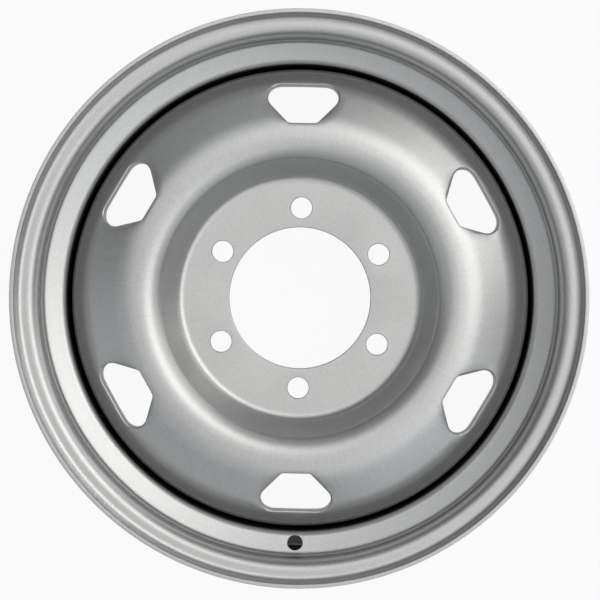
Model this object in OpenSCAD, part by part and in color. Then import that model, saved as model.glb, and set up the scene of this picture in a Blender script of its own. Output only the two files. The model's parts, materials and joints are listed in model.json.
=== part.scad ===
// Welded steel disc wheel: a rolled drop-centre rim with a pressed disc in its well.
// Millimetres. The origin is the centre of the disc's hub-mounting face, on the wheel's axis.
// +Z points outboard, towards the side that is seen on the vehicle.

/* [Rim] */
// Bead-seat diameter, at the flange
bead_seat_d = 405.6; // [390:0.1:440]
// Width between the two flanges
rim_width = 165.1; // [152.4:0.1:203.2]
// Thickness of the rolled strip
rim_t = 3; // [2.4:0.1:4]
// Height of the flanges above the bead seat
flange_h = 17.5; // [16:0.1:19]
// Length of the flange lip, along the axis
lip_w = 12.5; // [11.5:0.1:16]
// Bend between the flange and its lip, on the tyre side
lip_bend = 9.5; // [8:0.5:11]
// Bend between the flange and the bead seat, on the tyre side
heel_bend = 6.5; // [4:0.5:8]
// Taper of the bead seats, in degrees
seat_taper = 5; // [3:0.5:7]
// Width of the bead seats
seat_w = 16; // [15:0.5:22]
// Height of the safety humps above the end of the bead seat
hump_h = 1.25; // [0.5:0.05:1.5]
// Width of a safety hump's crest
hump_w = 5; // [4:0.5:8]
// Fall from the outboard hump's crest to the ledge at its foot
hump_fall = 1.7; // [1.5:0.1:2.5]
// Width of the ledge between the outboard hump and the well's wall
ledge_w = 6; // [5:0.5:8]
// Depth of the drop-centre well below the bead-seat diameter
well_depth = 19.8; // [17.3:0.1:22]
// Lean of the well's outboard wall from square to the axis, in degrees
well_wall_lean = 18; // [12:1:30]
// Length of the well's floor, along the axis
well_floor = 53.4; // [50:0.1:60]
// Rounding of the strip's cut edges
strip_edge_r = 0.5; // [0.3:0.1:1.1]

/* [Valve hole] */
// Diameter of the valve hole
valve_d = 11.3; // [8.3:0.1:12.5]
// Height of the valve hole's middle above the well's floor
valve_rise = 7.6; // [7:0.1:9]
// Chamfer of the valve hole's edges
valve_chamfer = 0.5; // [0.2:0.1:0.8]

/* [Disc] */
// Offset of the mounting face, outboard of the rim's middle
wheel_offset = 40; // [32:0.5:44]
// Thickness of the disc's sheet
disc_t = 5.5; // [4.5:0.1:6.5]
// Radius at the foot of the dish wall, where it meets the hub face
dish_foot_r = 94; // [90:0.1:96]
// Slope of the dish wall, in degrees
dish_slope = 58; // [48:1:62]
// Height of the crown above the hub face
crown_h = 26.8; // [23:0.1:29]
// Height of the crown's inner brow, from the dish wall's top to the crown
brow_h = 5.6; // [3.5:0.1:6.5]
// Slope of the crown's inner brow, in degrees
brow_slope = 30; // [26:1:34]
// Distance of the crown's outer shoulder from the disc's seat in the rim
shoulder_in = 46.5; // [44:0.1:49]
// Slope of the window band, in degrees
band_slope = 22.5; // [18:0.5:26]
// Distance of the window band's outer end from the disc's seat
band_end_in = 14.2; // [11:0.1:16]
// Slope of the disc from the window band down to its edge, in degrees
edge_slope = 52; // [46:1:58]
// Gap between the rim and the disc's edge, above the seat
edge_gap = 2.8; // [2:0.1:4]
// Straight drop of the disc's skirt below its edge
skirt_drop = 17.4; // [15:0.1:20]
// Length over which the skirt flares out to the rim
skirt_flare = 8; // [6:0.5:10]
// Length of the skirt's seat in the rim
skirt_seat = 12; // [9:0.5:14]
// Clearance between the skirt's seat and the rim
seat_clearance = 0.05; // [0.02:0.01:0.1]

/* [Disc bends, on the outboard side] */
// Bend at the foot of the dish wall
foot_bend = 9; // [5:0.5:12]
// Bend at the top of the dish wall, where the brow starts
brow_bend = 10; // [6:0.5:12]
// Bend at the inner shoulder of the crown
crown_bend = 24; // [18:0.5:28]
// Bend at the outer shoulder of the crown
shoulder_bend = 50; // [40:1:60]
// Bend at the outer end of the window band
band_bend = 30; // [14:1:34]
// Bend at the disc's edge and of the skirt
edge_bend = 10; // [8:0.5:12]

/* [Hub] */
// Diameter of the centre bore
bore_d = 109.5; // [100:0.1:112]
// Rounding of the centre bore's edges
bore_edge_r = 0.8; // [0.3:0.1:1.5]
// Number of wheel studs
stud_count = 6; // [5:1:8]
// Diameter of the stud circle
stud_pcd = 139.7; // [135:0.1:145]
// Diameter of the stud holes
stud_hole_d = 16.5; // [13:0.1:18]
// Chamfer of the stud holes' edges
stud_chamfer = 0.5; // [0.2:0.1:1]

/* [Windows] */
// Number of vent windows
window_count = 6; // [4:1:7]
// Length of a window, up the slope of its band
window_h = 32.5; // [26:0.5:35]
// Half width of a window's inner edge, between square corners
window_inner_w = 11; // [8:0.5:14]
// Lean of a window's sides, in degrees
window_lean = 42; // [30:1:45]
// Rounding of a window's outer corners
window_outer_r = 10.5; // [7:0.5:12]
// Rounding of a window's inner corners
window_inner_r = 4; // [3:0.5:7]
// Distance of the windows' middle from the disc's seat in the rim
window_in = 29.6; // [28:0.1:33]
// Rounding of the windows' outboard edges
window_edge_r = 1.8; // [0.8:0.1:2.4]

/* [Welds] */
// Number of weld runs between the disc and the rim
weld_count = 6; // [4:1:8]
// Length of a weld run, in degrees about the axis
weld_angle = 34; // [20:1:40]
// Leg of the weld's section
weld_leg = 5; // [3.5:0.1:5.4]

/* [Hidden] */
$fn = 96;
bend_step = 5;
window_step = 11;
mouth_step = 30;
valve_bearing = -90;
first_stud_bearing = 90;
first_window_bearing = 90;
first_weld_bearing = 60;
overshoot = 1;

// Rim levels, along the axis
rim_middle_z = -wheel_offset;
outboard_flange_z = rim_middle_z + rim_width / 2;
inboard_flange_z = rim_middle_z - rim_width / 2;

// Rim radii, on the tyre side
bead_seat_r = bead_seat_d / 2;
flange_r = bead_seat_r + flange_h;
seat_end_r = bead_seat_r - seat_w * tan(seat_taper);
hump_r = seat_end_r + hump_h;
ledge_r = hump_r - hump_fall;
hump_rise_w = 2.5;
hump_flank = 35;
hump_bend = 6;
hump_flank_bend = 4;
ledge_bend = 0.8;
ledge_wall_bend = 4.6;
well_r = bead_seat_r - well_depth;
well_wall_bend = 4.2;
well_ramp_bend = 12;

// Well levels
hump_start_z = outboard_flange_z - seat_w - hump_rise_w;
hump_end_z = hump_start_z - hump_w;
ledge_z = hump_end_z - hump_fall * tan(hump_flank);
well_wall_top_z = ledge_z - ledge_w;
well_wall_drop = (ledge_r - well_r) * tan(well_wall_lean);
well_top_z = well_wall_top_z - well_wall_drop;
well_end_z = well_top_z - well_floor;
inboard_seat_end_z = inboard_flange_z + seat_w;
ramp_end_z = inboard_seat_end_z + hump_rise_w + hump_w;

// Valve hole, square to the well's outboard wall
valve_r = well_r + valve_rise;
valve_z = well_top_z + valve_rise * tan(well_wall_lean);

// Disc radii and levels, on the outboard side
rim_inside_r = well_r - rim_t;
skirt_r = rim_inside_r - seat_clearance;
disc_edge_r = rim_inside_r - edge_gap;
crown_z = disc_t + crown_h;
brow_z = crown_z - brow_h;
brow_r = dish_foot_r + (crown_h - brow_h) / tan(dish_slope);
crown_r = brow_r + brow_h / tan(brow_slope);
shoulder_r = rim_inside_r - shoulder_in;
ridge_share = tan(band_slope) / (tan(brow_slope) + tan(band_slope));
ridge_r = crown_r - (crown_r - shoulder_r) * ridge_share;
ridge_z = crown_z - (crown_r - ridge_r) * tan(brow_slope);
band_end_r = rim_inside_r - band_end_in;
band_end_z = crown_z - (band_end_r - shoulder_r) * tan(band_slope);
edge_z = band_end_z - (disc_edge_r - band_end_r) * tan(edge_slope);
flare_z = edge_z - skirt_drop;
skirt_seat_z = flare_z - skirt_flare;
skirt_end_z = skirt_seat_z - skirt_seat;

// Windows
window_r = rim_inside_r - window_in;
window_z = crown_z - (window_r - shoulder_r) * tan(band_slope);
window_outer_w = window_inner_w + window_h * tan(window_lean);
punch_depth = 4 * disc_t;

// Paths of bent sheet: each point is [radius, level, bend radius at that corner]
rim_path = [
    [flange_r, outboard_flange_z + lip_w, 0],
    [flange_r, outboard_flange_z, lip_bend],
    [bead_seat_r, outboard_flange_z, heel_bend],
    [seat_end_r, outboard_flange_z - seat_w, hump_bend],
    [hump_r, hump_start_z, hump_bend],
    [hump_r, hump_end_z, hump_flank_bend],
    [ledge_r, ledge_z, ledge_bend],
    [ledge_r, well_wall_top_z, ledge_wall_bend],
    [well_r, well_top_z, well_wall_bend],
    [well_r, well_end_z, well_ramp_bend],
    [hump_r, ramp_end_z, well_ramp_bend],
    [hump_r, inboard_seat_end_z + hump_rise_w, hump_bend],
    [seat_end_r, inboard_seat_end_z, hump_bend],
    [bead_seat_r, inboard_flange_z, heel_bend],
    [flange_r, inboard_flange_z, lip_bend],
    [flange_r, inboard_flange_z - lip_w, 0]
];
// Where the crown has no level part left, its brow and its band meet in one ridge
crown_corners = crown_r < shoulder_r
    ? [[crown_r, crown_z, crown_bend], [shoulder_r, crown_z, shoulder_bend]]
    : [[ridge_r, ridge_z, crown_bend]];
disc_path = [
    [bore_d / 2, disc_t, 0],
    [dish_foot_r, disc_t, foot_bend],
    [brow_r, brow_z, brow_bend],
    each crown_corners,
    [band_end_r, band_end_z, band_bend],
    [disc_edge_r, edge_z, edge_bend],
    [disc_edge_r, flare_z, edge_bend],
    [skirt_r, skirt_seat_z, edge_bend],
    [skirt_r, skirt_end_z, 0]
];

// Plane geometry of bent paths
function corner(p) = [p.x, p.y];
function unit(v) = v / norm(v);
function left_of(v) = [-v.y, v.x];
function turned(v, a) = [v.x * cos(a) - v.y * sin(a), v.x * sin(a) + v.y * cos(a)];
function turn_angle(a, b) = atan2(cross(a, b), a * b);
function last(list) = len(list) - 1;

// Direction of the stretch that follows corner i, and its length
function stretch(path, i) = corner(path[i + 1]) - corner(path[i]);
function heading(path, i) = unit(stretch(path, i));
function turn_at(path, i) = turn_angle(heading(path, i - 1), heading(path, i));

// Length that the bend at corner i takes from each stretch beside it
function bend_reach(path, i) =
    i <= 0 || i >= last(path) ? 0 : path[i].z * tan(abs(turn_at(path, i)) / 2);

// Share of the bend at corner i that its two stretches have room for
function bend_share(path, i) =
    min([1, for (k = [i - 1, i])
        norm(stretch(path, k)) / max(0.001, bend_reach(path, k) + bend_reach(path, k + 1))]);

// Points along the bend at corner i, on a line that runs beside the path by aside
function bend_points(path, i, aside, step) =
    let (turn = turn_at(path, i), side = sign(turn), ahead = heading(path, i - 1))
    let (share = bend_share(path, i), r = path[i].z * share)
    let (centre = corner(path[i]) - ahead * bend_reach(path, i) * share + left_of(ahead) * side * r)
    let (steps = max(1, ceil(abs(turn) / step)))
    [for (k = [0 : steps])
        centre - turned(left_of(ahead), turn * k / steps) * side * (r - side * aside)];

// Points of a whole path, from its first end to its last
function path_points(path, aside, step = bend_step) = [
    corner(path[0]) + left_of(heading(path, 0)) * aside,
    for (i = [1 : last(path) - 1]) each bend_points(path, i, aside, step),
    corner(path[last(path)]) + left_of(heading(path, last(path) - 1)) * aside
];
function reversed(list) = [for (i = [last(list) : -1 : 0]) list[i]];

// Points round a sheet's end, across it from side to side, with rounded edges
function end_points(tip, out, across, r) = [
    for (a = [0 : 15 : 90]) tip - out * r * (1 - sin(a)) + across * r * (1 - cos(a))
];
function sheet_end(tip, out, across, t, r) = concat(
    end_points(tip, out, across, r),
    reversed(end_points(tip + across * t, out, -across, r))
);
function inner_points(list) = [for (i = [1 : last(list) - 1]) list[i]];

// Section of a bent sheet that lies to the right of its path, with rounded ends
module sheet_section(path, t, first_edge_r, last_edge_r) {
    first = heading(path, 0);
    final = heading(path, last(path) - 1);
    polygon(concat(
        reversed(sheet_end(corner(path[0]), -first, -left_of(first), t, first_edge_r)),
        inner_points(path_points(path, 0)),
        sheet_end(corner(path[last(path)]), final, -left_of(final), t, last_edge_r),
        reversed(inner_points(path_points(path, -t)))
    ));
}

// Rim: a rolled strip with a hole for the valve
module rim() {
    color("silver")
    difference() {
        rotate_extrude() sheet_section(rim_path, rim_t, strip_edge_r, strip_edge_r);
        valve_hole();
    }
}

// Hole through the well's outboard wall, chamfered on both sides
module valve_hole() {
    rotate(valve_bearing)
    translate([valve_r, 0, valve_z])
    rotate([0, -well_wall_lean, 0])
    chamfered_hole(valve_d, 0, rim_t, valve_chamfer);
}

// A hole from one level up to another, with a chamfer at both mouths
module chamfered_hole(d, bottom, top, chamfer) {
    r = d / 2;
    flare = chamfer + overshoot;
    translate([0, 0, bottom - overshoot]) cylinder(r = r, h = top - bottom + 2 * overshoot);
    translate([0, 0, top - chamfer]) cylinder(r1 = r, r2 = r + flare, h = flare);
    translate([0, 0, bottom - overshoot]) cylinder(r1 = r + flare, r2 = r, h = flare);
}

// Disc: one pressing with a bore, stud holes and vent windows
module disc() {
    color("silver")
    difference() {
        rotate_extrude() sheet_section(disc_path, disc_t, bore_edge_r, 0);
        around(stud_count, first_stud_bearing, stud_pcd / 2)
        chamfered_hole(stud_hole_d, 0, disc_t, stud_chamfer);
        around(window_count, first_window_bearing, window_r) window_punch();
    }
}

// Copies of the children round the axis at a radius, each with +X outwards
module around(count, first_bearing, r) {
    for (i = [0 : count - 1])
        rotate(first_bearing + i * 360 / count) translate([r, 0, 0]) children();
}

// Window outline in its band: x runs up the slope towards the rim, y round the wheel
window_corners = [
    [-window_h / 2, 0, 0],
    [-window_h / 2, window_inner_w, window_inner_r],
    [window_h / 2, window_outer_w, window_outer_r],
    [window_h / 2, 0, 0]
];
function mirrored(list) = [for (p = list) [p.x, -p.y]];
function half_outline(aside) = inner_points(path_points(window_corners, aside, window_step));
function window_outline(aside) = concat(half_outline(aside), reversed(mirrored(half_outline(aside))));

// Level of the disc's outboard side at a radius
disc_face = path_points(disc_path, 0);
function face_level(r) = lookup(r, disc_face);

// A point of the window's plane, lifted along the punch, and the disc's height over it
function lifted(p, w) = [
    p.x * cos(band_slope) + w * sin(band_slope),
    p.y,
    w * cos(band_slope) - p.x * sin(band_slope)
];
function radius_at(q) = norm([window_r + q.x, q.y]);
function face_height(p, w = 0, tries = 6) =
    let (q = lifted(p, w))
    let (short = face_level(radius_at(q)) - window_z - q.z)
    tries == 0 ? w : face_height(p, w + short * cos(band_slope), tries - 1);

// Ring of the punch: the outline moved outwards by aside, at a height over the disc's face
function punch_ring(aside, over) =
    [for (p = window_outline(aside)) lifted(p, face_height(p) + over)];

// Punch for one window, square to its band: its mouth rounds the window's outboard edge
module window_punch() {
    function arc_aside(a) = window_edge_r * (1 - cos(a));
    function arc_over(a) = -window_edge_r * (1 - sin(a));
    last_a = 90 - mouth_step;
    run_out = (window_edge_r - arc_aside(last_a)) / -arc_over(last_a);
    mouth = window_edge_r + run_out * overshoot / 2;
    translate([0, 0, window_z])
    lofted([
        punch_ring(0, -punch_depth),
        for (a = [0 : mouth_step : last_a]) punch_ring(arc_aside(a), arc_over(a)),
        punch_ring(mouth, overshoot / 2),
        punch_ring(mouth, punch_depth)
    ]);
}

// Solid through rings of equally many points, each clockwise from above, lowest ring first
module lofted(rings) {
    n = len(rings[0]);
    top = (len(rings) - 1) * n;
    sides = [for (j = [0 : len(rings) - 2], i = [0 : n - 1], upper = [false, true])
        let (k = (i + 1) % n, low = j * n, high = low + n)
        upper ? [low + i, high + k, high + i] : [low + i, low + k, high + k]];
    ends = [[for (i = [n - 1 : -1 : 0]) i], [for (i = [0 : n - 1]) top + i]];
    polyhedron([for (ring = rings) each ring], concat(sides, ends));
}

// Fillet welds in the corner between the skirt's end and the rim
module disc_welds() {
    color("gray")
    for (i = [0 : weld_count - 1])
        rotate(first_weld_bearing + i * 360 / weld_count - weld_angle / 2)
        rotate_extrude(angle = weld_angle)
        weld_section();
}

module weld_section() {
    throat = weld_leg * 0.62;
    corner_at = [rim_inside_r, skirt_end_z];
    translate(corner_at)
    polygon([[0, 0], [-weld_leg, 0], [-throat, -throat], [0, -weld_leg]]);
}

rim();
disc();
disc_welds();
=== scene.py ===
# %% [markdown]
# # A painted steel disc wheel
# The wheel is two pieces of sheet steel: a rim, rolled from one strip, and a disc, pressed from one
# plate and welded into the rim's well. Both are loaded as finished solids, in metres, with the
# origin at the middle of the face that sits on the hub and +Z along the axle, outboard. What is
# left to do in Blender is the look: the paint, the weld beads, the light and the camera.

# %% Load the solids
import json
import math

import bmesh
import bpy
from mathutils import Matrix, Vector


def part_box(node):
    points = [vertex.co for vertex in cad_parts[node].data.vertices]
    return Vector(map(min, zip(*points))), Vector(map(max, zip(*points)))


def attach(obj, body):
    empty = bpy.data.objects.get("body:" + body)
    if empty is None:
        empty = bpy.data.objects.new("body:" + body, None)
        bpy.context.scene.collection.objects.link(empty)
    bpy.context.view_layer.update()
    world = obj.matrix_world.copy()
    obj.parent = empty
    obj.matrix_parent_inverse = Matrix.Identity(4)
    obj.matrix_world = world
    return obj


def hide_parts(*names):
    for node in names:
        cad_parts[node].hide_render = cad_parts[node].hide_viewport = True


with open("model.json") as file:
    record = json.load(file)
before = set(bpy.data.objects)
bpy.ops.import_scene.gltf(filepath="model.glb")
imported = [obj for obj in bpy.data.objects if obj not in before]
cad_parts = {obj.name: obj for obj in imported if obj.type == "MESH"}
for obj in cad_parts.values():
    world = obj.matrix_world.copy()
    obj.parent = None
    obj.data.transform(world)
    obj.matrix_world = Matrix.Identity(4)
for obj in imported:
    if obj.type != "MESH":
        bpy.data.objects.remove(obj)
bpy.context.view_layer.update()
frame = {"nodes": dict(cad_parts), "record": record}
rim, disc = (frame["nodes"][name] for name in ("rim", "disc"))
LIP_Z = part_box("rim")[1].z
FLOOR_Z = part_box("rim")[0].z

# %% [markdown]
# ## Smooth sheet
# A solid arrives as loose triangles, so a bent sheet would show the flat bands that its bends were
# cut into. Its mesh stays as it is, but a modifier may finish it: a small geometry tree joins the
# triangles and smooths every edge that turns by less than a limit. The rounded mouths of the
# windows turn by 30 degrees at each band and are smoothed too; the sheared edges of the sheet turn
# by more, and stay crisp.

# %% Join and smooth the bands
SMOOTH_BELOW = math.radians(33)
JOIN_WITHIN = 2e-6


def smooth_tree():
    tree = bpy.data.node_groups.new("smooth_bands", "GeometryNodeTree")
    tree.interface.new_socket("Geometry", in_out="INPUT", socket_type="NodeSocketGeometry")
    tree.interface.new_socket("Geometry", in_out="OUTPUT", socket_type="NodeSocketGeometry")
    kinds = ("NodeGroupInput", "GeometryNodeMergeByDistance", "GeometryNodeSetShadeSmooth",
             "GeometryNodeSetShadeSmooth", "NodeGroupOutput")
    chain = [tree.nodes.new(kind) for kind in kinds]
    for before, after in zip(chain, chain[1:]):
        tree.links.new(before.outputs[0], after.inputs[0])
    chain[1].inputs["Distance"].default_value = JOIN_WITHIN
    chain[2].domain, chain[3].domain = "FACE", "EDGE"
    angle = tree.nodes.new("GeometryNodeInputMeshEdgeAngle")
    below = tree.nodes.new("FunctionNodeCompare")
    below.operation = "LESS_THAN"
    below.inputs[1].default_value = SMOOTH_BELOW
    tree.links.new(angle.outputs["Unsigned Angle"], below.inputs[0])
    tree.links.new(below.outputs[0], chain[3].inputs["Shade Smooth"])
    return tree


bands = smooth_tree()
for sheet in (rim, disc):
    sheet.modifiers.new("smooth bands", "NODES").node_group = bands
print("smoothed", rim.name, "and", disc.name)

# %% [markdown]
# ## Camera
# The photograph looks straight down the axle from about two metres, a degree off it, with the valve
# hole at the bottom. The long lens and the distance come from how the far hub face shrinks against
# the near flange, and the aim and the roll from where the flange's circle and the holes lie.

# %% Set the camera
FOCAL_PX = 2981.8
IMAGE_PX = 600
SENSOR_MM = 36
ROLL = math.radians(1.1)
EYE_ABOVE_LIP = 2.262
camera_data = bpy.data.cameras.new("photo_camera")
camera_data.sensor_width = SENSOR_MM
camera_data.lens = FOCAL_PX * SENSOR_MM / IMAGE_PX
camera_data.clip_start, camera_data.clip_end = 0.05, 50
camera = bpy.data.objects.new("photo_camera", camera_data)
bpy.context.scene.collection.objects.link(camera)
bpy.context.scene.camera = camera
eye = Vector((0.03335, 0.03921, LIP_Z + EYE_ABOVE_LIP))
aim = Vector((0.00094, -0.00076, LIP_Z))
ahead = (aim - eye).normalized()
right = ahead.cross(Vector((-math.sin(ROLL), math.cos(ROLL), 0))).normalized()
turned = Matrix((right, right.cross(ahead), -ahead)).transposed().to_4x4()
camera.matrix_world = Matrix.Translation(eye) @ turned
print("camera", [round(v, 3) for v in eye], "lens", round(camera_data.lens, 1), "mm")

# %% [markdown]
# ## Shader arithmetic
# A finish is a sum of masks and noises. Written as a node tree by hand it is hard to read, so one
# small class wraps a socket: ordinary operators on it add Math nodes, and one method adds any
# other node.


# %% A socket that can be reckoned with
class Shade:
    def __init__(self, tree, socket=None):
        self.tree, self.socket = tree, socket

    def node(self, kind, settings=None, inputs=None, out=0):
        made = self.tree.nodes.new(kind)
        for name, value in (settings or {}).items():
            setattr(made, name, value)
        for name, value in (inputs or {}).items():
            if isinstance(value, Shade):
                self.tree.links.new(value.socket, made.inputs[name])
            else:
                made.inputs[name].default_value = value
        return Shade(self.tree, made.outputs[out] if made.outputs else None)

    def maths(self, operation, *values):
        return self.node("ShaderNodeMath", {"operation": operation}, dict(enumerate(values)))

    def __add__(self, other): return self.maths("ADD", self, other)
    def __radd__(self, other): return self.maths("ADD", other, self)
    def __sub__(self, other): return self.maths("SUBTRACT", self, other)
    def __rsub__(self, other): return self.maths("SUBTRACT", other, self)
    def __mul__(self, other): return self.maths("MULTIPLY", self, other)
    def __rmul__(self, other): return self.maths("MULTIPLY", other, self)
    def __truediv__(self, other): return self.maths("DIVIDE", self, other)
    def __rtruediv__(self, other): return self.maths("DIVIDE", other, self)

    def rise(self, start, end):
        spread = {"Value": self, "From Min": start, "From Max": end}
        return self.node("ShaderNodeMapRange", {"interpolation_type": "SMOOTHSTEP"}, spread)

    def fall(self, start, end): return 1 - self.rise(start, end)

    def largest(self, other): return self.maths("MAXIMUM", self, other)

    def vector(self, operation, *values):
        return self.node("ShaderNodeVectorMath", {"operation": operation}, dict(enumerate(values)))

    def vector_length(self):
        return self.node("ShaderNodeVectorMath", {"operation": "LENGTH"}, {0: self}, out=1)

    def parts(self):
        return [self.node("ShaderNodeSeparateXYZ", inputs={0: self}, out=axis) for axis in range(3)]


def new_finish(name):
    material = bpy.data.materials.new(name)
    material.use_nodes = True
    material.node_tree.nodes.clear()
    return material, Shade(material.node_tree)


def close_finish(shade, shader):
    shade.node("ShaderNodeOutputMaterial", inputs={"Surface": shader})


def noise(shade, place, scale, detail):
    return shade.node("ShaderNodeTexNoise", inputs={
        "Vector": place, "Scale": scale, "Detail": detail})


def grey(value):
    return (value, value, value, 1)


print("shader helper ready")

# %% [markdown]
# ## Where the primer, the painted shade and the painted highlight show
# The whole wheel is dipped in a dark primer, and then the silver is sprayed on from its two open
# sides. On the tyre side the primer is left bare down in the well and on the inboard seat; this is
# a guess, and it also paints the shade that is seen through the valve hole. The same dark primer is
# painted shade in the narrow gap between the disc's edge and the rim and on the wall of the valve
# hole. The silver is darkened as painted shade on the steep slope before the disc's edge and in the
# corners under the flange, and along the very edge of the disc it is lightened as a painted
# highlight, a lighter line. These places could be painted on by hand, but each of them is a ring,
# so each sheet has masks that are reckoned from the distance to the axle, the height and the way
# that the surface faces. The first mask of a pair is bare primer and painted shade, and the second
# darkens the silver as painted shade, and lightens it as a painted highlight where it is below
# nought.

# %% Places on the wheel
SEAT_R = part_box("disc")[1].x
SKIRT_END_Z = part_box("disc")[0].z
VALVE = next(mount for mount in frame["record"]["mounts"] if mount["name"] == "valve_hole")
VALVE_R = VALVE["dims"]["r_mm"] / 1000


class Spot:
    def __init__(self, shade):
        self.place = shade.node("ShaderNodeTexCoord", out=3)
        self.x, self.y, self.z = self.place.parts()
        self.radius = shade.maths("SQRT", self.x * self.x + self.y * self.y)
        facing_x, facing_y, self.facing_up = shade.node("ShaderNodeNewGeometry", out=1).parts()
        self.facing_out = (facing_x * self.x + facing_y * self.y) / self.radius

    def from_valve_axis(self):
        from_hole = self.place.vector("SUBTRACT", self.place, VALVE["pos_m"])
        return from_hole.vector("CROSS_PRODUCT", from_hole, VALVE["axis"]).vector_length()


print("disc seat at radius", round(SEAT_R, 5), "skirt ends at", round(SKIRT_END_Z, 5))


# %% Rings where the primer, the painted shade and the painted highlight change, as radii and heights in metres
GAP_ON_DISC = (SEAT_R - 0.0028, SEAT_R - 0.0023)
SLOPE_IN, SLOPE_OUT = (0.164, 0.169), (0.1720, 0.1745)
DISC_EDGE = (0.1730, 0.1752)
# How much the slope is darkened as painted shade, and how much the disc's edge is lightened as a
# painted highlight.
SLOPE_SHADE_AMOUNT, EDGE_HIGHLIGHT_AMOUNT = 0.42, 0.5
GAP_ON_RIM = (SEAT_R + 0.0002, SEAT_R + 0.0036)
GAP_BOTTOM = (SKIRT_END_Z, SKIRT_END_Z + 0.002)
HOLE_WALL = (VALVE_R + 0.00005, VALVE_R + 0.0002)
WELL_OUT = (0.2000, 0.2060)
INBOARD_SHEET_OUT = (0.2003, 0.2010)
INBOARD_FLANGE_FOOT = (0.209, 0.213)
INBOARD_SEAT_TOP = (FLOOR_Z + 0.036, FLOOR_Z + 0.046)
# How much the ledge and the end of the seat are darkened as painted shade.
LEDGE_BOTTOM, LEDGE_TOP, LEDGE_SHADE_AMOUNT = (0.009, 0.012), (0.0165, 0.0185), 0.2
SEAT_END_BOTTOM, SEAT_END_TOP, SEAT_END_SHADE_AMOUNT = (0.0245, 0.0265), (0.033, 0.040), 0.55
CORNERS_IN = (0.1955, 0.197)
WELD_TOP = (SKIRT_END_Z - 0.0015, SKIRT_END_Z)
# How much of the dark primer, as painted shade, the welds get by the skirt and on their upward
# faces.
WELD_CREVICE_SHADE, WELD_UPWARD_SHADE = 0.3, 0.4
print("primer shows on the disc from radius", round(GAP_ON_DISC[0], 5))


# %% Masks for the primer, the painted shade and the painted highlight
def disc_painted_light(spot):
    # The gap between the disc's edge and the rim gets the dark primer as painted shade.
    painted_gap_shade = spot.radius.rise(*GAP_ON_DISC)
    # The steep slope before the disc's edge is darkened as painted shade, and its very edge is
    # lightened as a painted highlight.
    painted_slope_shade = spot.radius.rise(*SLOPE_IN) * spot.radius.fall(*SLOPE_OUT)
    painted_edge_highlight = spot.radius.rise(*DISC_EDGE)
    painted_light = painted_slope_shade * SLOPE_SHADE_AMOUNT - painted_edge_highlight * EDGE_HIGHLIGHT_AMOUNT
    return painted_gap_shade, painted_light * spot.facing_up.rise(0.0, 0.2)


def rim_primer_and_painted_shade(spot):
    # The gap below the disc's edge gets the dark primer as painted shade.
    painted_gap_shade = spot.radius.fall(*GAP_ON_RIM) * spot.z.rise(*GAP_BOTTOM)
    # The wall of the valve hole gets the dark primer as painted shade.
    painted_hole_shade = spot.from_valve_axis().fall(*HOLE_WALL)
    # The dark primer on the tyre side of the well and the inboard seat is a guess, and it also
    # paints the shade that is seen through the valve hole.
    well = spot.facing_out.rise(0.0, 0.3) * spot.radius.fall(*WELL_OUT)
    facing_tyre = spot.facing_out.largest(spot.facing_up * spot.radius.rise(*INBOARD_SHEET_OUT))
    inboard_seat = facing_tyre.rise(0.0, 0.3) * (
        spot.radius.fall(*INBOARD_FLANGE_FOOT) * spot.z.fall(*INBOARD_SEAT_TOP))
    # The corners under the flange, on the ledge and at the end of the seat, are darkened as painted
    # shade.
    ledge = spot.z.rise(*LEDGE_BOTTOM) * spot.z.fall(*LEDGE_TOP) * LEDGE_SHADE_AMOUNT
    seat_end = spot.z.rise(*SEAT_END_BOTTOM) * spot.z.fall(*SEAT_END_TOP) * SEAT_END_SHADE_AMOUNT
    facing_axle = spot.facing_out.fall(-0.2, 0.0)
    painted_corner_shade = ledge.largest(seat_end) * spot.radius.rise(*CORNERS_IN) * facing_axle
    return painted_gap_shade.largest(painted_hole_shade).largest(well).largest(inboard_seat), painted_corner_shade


def weld_painted_shade(spot):
    # Where the weld meets the skirt it gets the dark primer as painted shade, and its faces that
    # look up into the crevice are darkened as painted shade.
    at_the_skirt = spot.z.rise(*WELD_TOP)
    return at_the_skirt * WELD_CREVICE_SHADE, spot.facing_up.rise(0.2, 0.9) * WELD_UPWARD_SHADE


print("primer masks ready")

# %% [markdown]
# ## Silver paint
# The silver is full of fine metal flakes, so it is a soft metal more than a plain colour: a
# metallic surface of medium roughness under a thin clear binder, with a grain of flakes, a faint
# orange peel and slow patches where the coat is thinner. The tools leave fine lines in the steel.
# The press draws the disc's lines along the radius: noise on the direction from the axle, stretched
# along the radius, makes those. The rollers leave the rim's lines all the way round it: noise on
# the radius and the height makes those.

# %% Lines that the tools leave
PRESS_LINES_ROUND, PRESS_LINES_ALONG = 67, 45
ROLL_LINES_ACROSS, ROLL_LINES_ROUND = 800, 3


def pressed_lines(spot):
    return {0: spot.x / spot.radius * PRESS_LINES_ROUND,
            1: spot.y / spot.radius * PRESS_LINES_ROUND,
            2: spot.radius * PRESS_LINES_ALONG}


def rolled_lines(spot):
    return {0: spot.radius * ROLL_LINES_ACROSS,
            1: spot.z * ROLL_LINES_ACROSS,
            2: spot.x / spot.radius * ROLL_LINES_ROUND}


print("tool lines ready")

# %% Mix the paint
# The dark primer is bare primer on the tyre side and painted shade in the gap, the valve hole and
# by the welds.
PRIMER_AND_SHADE = grey(0.009)
PATCHES_PER_M, GRAINS_PER_M, FLAKES_PER_M, PEEL_PER_M = 14.0, 700.0, 1300.0, 420.0
MIDDLE = 0.5


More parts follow.
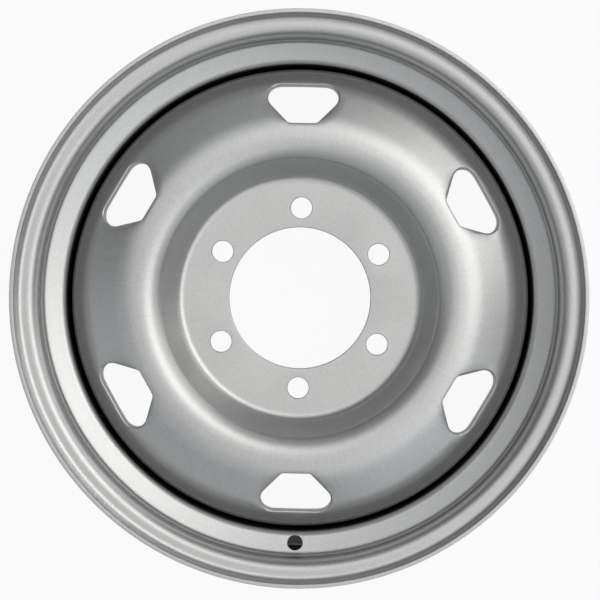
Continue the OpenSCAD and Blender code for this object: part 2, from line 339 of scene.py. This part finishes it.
def silver_paint(name, base, roughness, primer_and_light_masks, tool_lines):
    material, shade = new_finish(name)
    spot = Spot(shade)
    patches = noise(shade, spot.place, PATCHES_PER_M, 3.0)
    grain = noise(shade, spot.place, GRAINS_PER_M, 2.0)
    peel = noise(shade, spot.place, PEEL_PER_M, 2.0)
    lines = noise(shade, shade.node("ShaderNodeCombineXYZ", inputs=tool_lines(spot)), 1.0, 2.0)
    cells = shade.node("ShaderNodeTexVoronoi", inputs={
        "Vector": spot.place, "Scale": FLAKES_PER_M}, out=1)
    flake = shade.node("ShaderNodeSeparateColor", inputs={0: cells})
    primer_and_painted_shade, painted_light = primer_and_light_masks(spot)
    tone = (0.965 + patches * 0.04 + (grain - MIDDLE) * 0.24
            + (flake - MIDDLE) * 0.08 + (lines - MIDDLE) * 0.12)
    # The second mask darkens the silver as painted shade, and lightens it as a painted highlight
    # where it is below nought.
    silver = shade.node("ShaderNodeVectorMath", {"operation": "SCALE"}, {
        0: base, "Scale": tone * (1 - painted_light)})
    relief = peel * 0.6 + grain * 0.2 + lines * 0.1
    bump = shade.node("ShaderNodeBump", inputs={
        "Strength": 0.04, "Distance": 0.0004, "Height": relief})
    silver_coat = shade.node("ShaderNodeBsdfPrincipled", inputs={
        "Base Color": silver,
        "Metallic": 0.80,
        "Roughness": roughness + (patches - MIDDLE) * 0.05 + (flake - MIDDLE) * 0.04 + painted_light * 0.2,
        "Coat Weight": 0.35,
        "Coat Roughness": 0.16,
        "Normal": bump,
    })
    primer_and_shade_coat = shade.node("ShaderNodeBsdfPrincipled", inputs={
        "Base Color": PRIMER_AND_SHADE, "Roughness": 0.5, "Specular IOR Level": 0.08, "Normal": bump})
    # The first mask mixes in the dark primer: bare primer on the tyre side, painted shade in the
    # gap, the valve hole and by the welds.
    close_finish(shade, shade.node("ShaderNodeMixShader", inputs={
        0: primer_and_painted_shade, 1: silver_coat, 2: primer_and_shade_coat}))
    return material


print("paint ready")

# %% Paint the sheets
SILVER, SILVER_ROUGHNESS = (0.602, 0.602, 0.604), 0.40
for sheet, masks, lines in ((rim, rim_primer_and_painted_shade, rolled_lines), (disc, disc_painted_light, pressed_lines)):
    paint = silver_paint(sheet.name + "_paint", SILVER, SILVER_ROUGHNESS, masks, lines)
    sheet.data.materials.clear()
    sheet.data.materials.append(paint)
    print("painted", sheet.name)

# %% [markdown]
# ## Weld runs
# On the hidden side, six runs of weld fill the corner between the end of the disc's skirt and the
# inside of the rim. A plain fillet would do for the shape, but a real bead is a row of frozen
# ripples, each a crescent that trails behind the arc, and it starts and ends round. So the fillet's
# section is spun along the run in many small steps, each ring is swelled a little about the corner
# in the beat of the ripples, and the crown is turned back against the toes. One run is then copied
# round the wheel.

# %% Lay the weld beads
WELD_RUNS = 6
WELD_ARC = math.radians(34)
FIRST_WELD = math.radians(60)
RIPPLES, RINGS_PER_RIPPLE = 52, 5
RIPPLE_SWELL = 0.05
END_RIPPLES, END_SIZE = 4, 0.35
CROWN, CROWN_CUTS = 0.0009, 6
CROWN_LAG = math.radians(-0.5)
BITE = 0.0002
weld_low, weld_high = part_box("disc_welds")
root_r, root_z, leg = -weld_low.x, weld_high.z, weld_high.z - weld_low.z
rings = RIPPLES * RINGS_PER_RIPPLE

beads = bmesh.new()
lag = beads.verts.layers.float.new("lag")
corner = Vector((root_r + BITE, 0, root_z + BITE))
skirt_toe = Vector((root_r - leg, 0, root_z + BITE))
rim_toe = Vector((root_r + BITE, 0, root_z - leg))
section = [beads.verts.new(place) for place in (corner, skirt_toe, rim_toe)]
sides = [beads.edges.new((section[i - 1], section[i])) for i in range(3)]
cut = bmesh.ops.subdivide_edges(beads, edges=[sides[2]], cuts=CROWN_CUTS)
for vert in [piece for piece in cut["geom_inner"] if isinstance(piece, bmesh.types.BMVert)]:
    along = (vert.co - skirt_toe).length / (rim_toe - skirt_toe).length
    vert[lag] = 4 * along * (1 - along)
    vert.co += Vector((-1, 0, -1)).normalized() * CROWN * vert[lag]
bmesh.ops.spin(beads, geom=beads.verts[:] + beads.edges[:], cent=(0, 0, 0), axis=(0, 0, 1),
               angle=WELD_ARC, steps=rings)
print("weld section spun:", len(beads.verts), "vertices")


# %% Ripple, close and copy the beads
def ring_size(ring):
    from_end = min(ring, rings - ring) / RINGS_PER_RIPPLE
    round_end = math.sqrt(1 - (1 - min(from_end / END_RIPPLES, 1)) ** 2)
    beat = math.cos(2 * math.pi * ring / RINGS_PER_RIPPLE)
    return (END_SIZE + (1 - END_SIZE) * round_end) * (1 + RIPPLE_SWELL * beat)


for vert in beads.verts:
    bearing = math.atan2(vert.co.y, vert.co.x)
    ring = round(bearing / WELD_ARC * rings)
    root = Vector((root_r * math.cos(bearing), root_r * math.sin(bearing), root_z))
    swelled = root + (vert.co - root) * ring_size(ring)
    vert.co = Matrix.Rotation(CROWN_LAG * vert[lag], 3, "Z") @ swelled
bmesh.ops.holes_fill(beads, edges=beads.edges, sides=0)
bmesh.ops.recalc_face_normals(beads, faces=beads.faces)
bmesh.ops.rotate(beads, verts=beads.verts, cent=(0, 0, 0),
                 matrix=Matrix.Rotation(FIRST_WELD - WELD_ARC / 2, 3, "Z"))
bmesh.ops.spin(beads, geom=beads.verts[:] + beads.edges[:] + beads.faces[:], cent=(0, 0, 0),
               axis=(0, 0, 1), angle=2 * math.pi * (WELD_RUNS - 1) / WELD_RUNS,
               steps=WELD_RUNS - 1, use_duplicate=True)
for face in beads.faces:
    face.smooth = True
bead_mesh = bpy.data.meshes.new("weld_beads")
beads.to_mesh(bead_mesh)
beads.free()
weld_beads = bpy.data.objects.new("weld_beads", bead_mesh)
bpy.context.scene.collection.objects.link(weld_beads)
WELD_SILVER, WELD_ROUGHNESS = (0.46, 0.465, 0.47), 0.46
bead_mesh.materials.append(
    silver_paint("weld_paint", WELD_SILVER, WELD_ROUGHNESS, weld_painted_shade, pressed_lines))
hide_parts("disc_welds")
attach(weld_beads, "root")
print("weld beads:", len(bead_mesh.polygons), "faces")

# %% [markdown]
# ## Floor
# The wheel lies on its inboard flange on a plain white floor. A plain white matt surface would turn
# grey towards the edges of the picture. So to the camera and to the shiny paint the floor is mostly
# a white glow, as an overexposed studio sweep is; the rest of it is matt, takes the wheel's shadow
# and throws soft light back up.

# %% Lay the floor
HALF_FLOOR = 6
GLOW_SEEN, GLOW_IN_PAINT = 0.93, 0.45
MATT_WHITE = grey(0.85)
floor_mesh = bpy.data.meshes.new("floor")
shape = bmesh.new()
bmesh.ops.create_grid(shape, x_segments=1, y_segments=1, size=HALF_FLOOR)
bmesh.ops.translate(shape, verts=shape.verts, vec=(0, 0, FLOOR_Z))
shape.to_mesh(floor_mesh)
shape.free()
floor = bpy.data.objects.new("floor", floor_mesh)
bpy.context.scene.collection.objects.link(floor)
floor_finish, shade = new_finish("white_floor")
seen, in_paint, through = [shade.node("ShaderNodeLightPath", out=way) for way in (0, 3, 6)]
glow = (seen.largest(through) * GLOW_SEEN).largest(in_paint * GLOW_IN_PAINT)
matt = shade.node("ShaderNodeBsdfDiffuse", inputs={"Color": MATT_WHITE})
white = shade.node("ShaderNodeEmission", inputs={"Color": grey(1), "Strength": 1.0})
close_finish(shade, shade.node("ShaderNodeMixShader", inputs={0: glow, 1: matt, 2: white}))
floor_mesh.materials.append(floor_finish)
print("floor at", round(FLOOR_Z, 4))

# %% [markdown]
# ## Light
# Soft studio light: a large panel hangs over the wheel and leans to the right, a smaller one beside
# it gives the bright flank of the crown, and a long low one on the same side reaches the steep
# walls. These three are a little warm. Three weak and cooler panels, at the far side, the left and
# the lower right, keep the shadows open. One even sky could light the wheel too, but then no bend
# of the sheet would show, so the sky is white behind the wheel and almost dark as a light.

# %% Clear the sky
SKY_LIGHT, SKY_SEEN = 0.02, 0.92
scene = bpy.context.scene
scene.view_settings.view_transform = "Standard"
scene.world = bpy.data.worlds.new("studio")
scene.world.use_nodes = True
sky = scene.world.node_tree.nodes["Background"]
sky.inputs["Color"].default_value = grey(1)
to_camera = Shade(scene.world.node_tree).node("ShaderNodeLightPath")
strength = SKY_LIGHT + to_camera * SKY_SEEN
scene.world.node_tree.links.new(strength.socket, sky.inputs["Strength"])
print("sky set")


# %% Hang the lamps
WARM, COOL = (1.0, 0.990, 0.968), (0.91, 0.965, 1.0)
LAMP_DISTANCE = 2.2


def lamp(name, bearing, tilt, width, height, watts, colour):
    data = bpy.data.lights.new(name, "AREA")
    data.shape, data.size, data.size_y = "RECTANGLE", width, height
    data.energy, data.color = watts, colour
    made = bpy.data.objects.new(name, data)
    round_z, from_z = math.radians(bearing), math.radians(tilt)
    level = Vector((math.cos(round_z), math.sin(round_z), 0))
    away = level * math.sin(from_z) + Vector((0, 0, math.cos(from_z)))
    made.location = away * LAMP_DISTANCE
    made.rotation_mode = "QUATERNION"
    made.rotation_quaternion = (-away).to_track_quat("-Z", "Y")
    scene.collection.objects.link(made)


lamp("overhead_panel", 30, 10, 2.8, 2.8, 19.8, WARM)
lamp("right_panel", 30, 36, 1.5, 1.5, 13.0, WARM)
lamp("low_panel", 30, 80, 2.0, 0.8, 8.4, WARM)
lamp("far_panel", 110, 30, 1.6, 1.3, 2.9, COOL)
lamp("left_panel", 225, 42, 3.2, 1.2, 6.9, COOL)
lamp("lower_right_panel", 312, 42, 1.6, 1.2, 5.8, COOL)

# %% [markdown]
# ## Finish
# The view layer is brought up to date.

# %% Finish
bpy.context.view_layer.update()
